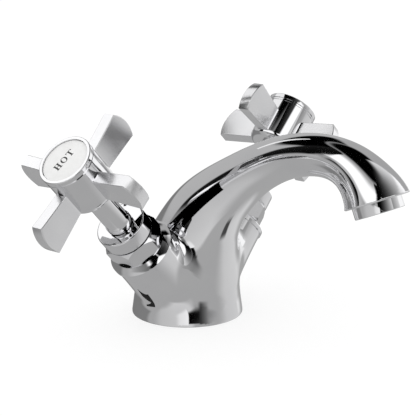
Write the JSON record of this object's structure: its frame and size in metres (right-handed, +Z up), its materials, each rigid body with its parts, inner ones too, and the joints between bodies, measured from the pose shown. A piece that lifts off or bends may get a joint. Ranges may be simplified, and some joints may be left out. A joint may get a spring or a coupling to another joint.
{
  "type": "basin mixer tap",
  "caption": "Two-handle basin mixer tap with a fixed arched spout, leaning valve arms, crosshead handles and ceramic quarter-turn valves.",
  "frame": {"origin": "middle of the foot's underside, on the basin's deck", "axes": "+Z up out of the deck, +X the way the spout points, -Y towards the hot valve and +Y towards the cold valve"},
  "size_m": [0.1438, 0.1816, 0.0967],
  "materials": {
    "chrome": "polished chrome on brass",
    "brass": "machined brass",
    "steel": "plain stainless steel",
    "rubber": "black nitrile rubber",
    "ceramic": "lapped white ceramic",
    "grey_plastic": "moulded plastic",
    "white_enamel": "white enamel"
  },
  "bodies": {
    "tap_body": {"body_casting": "chrome", "base_seal": "rubber", "aerator_housing": "chrome", "aerator_insert": "grey_plastic", "aerator_washer": "rubber", "hot_seat_seal": "rubber", "hot_fixed_disc": "ceramic", "hot_headwork": "chrome", "hot_barrel_ring": "rubber", "hot_flange_ring": "chrome", "hot_collar": "chrome", "cold_seat_seal": "rubber", "cold_fixed_disc": "ceramic", "cold_headwork": "chrome", "cold_barrel_ring": "rubber", "cold_flange_ring": "chrome", "cold_collar": "chrome"},
    "hot_turning": {"hot_moving_disc": "ceramic", "hot_spindle": "brass", "hot_spindle_rings": "rubber", "hot_circlip": "steel", "hot_handle": "chrome", "hot_handle_screw": "steel", "hot_bezel": "chrome", "hot_index_disc": "white_enamel"},
    "cold_turning": {"cold_moving_disc": "ceramic", "cold_spindle": "brass", "cold_spindle_rings": "rubber", "cold_circlip": "steel", "cold_handle": "chrome", "cold_handle_screw": "steel", "cold_bezel": "chrome", "cold_index_disc": "white_enamel"}
  },
  "joints": [
    {"name": "hot_handle_turn", "type": "hinge", "parent": "tap_body", "child": "hot_turning", "pos_m": [0.0008, -0.06539, 0.07211], "axis": [0, -0.6884, 0.7254], "range_deg": [0, 90]},
    {"name": "cold_handle_turn", "type": "hinge", "parent": "tap_body", "child": "cold_turning", "pos_m": [0.0008, 0.06539, 0.07211], "axis": [0, 0.6884, 0.7254], "range_deg": [-90, 0]}
  ]
}
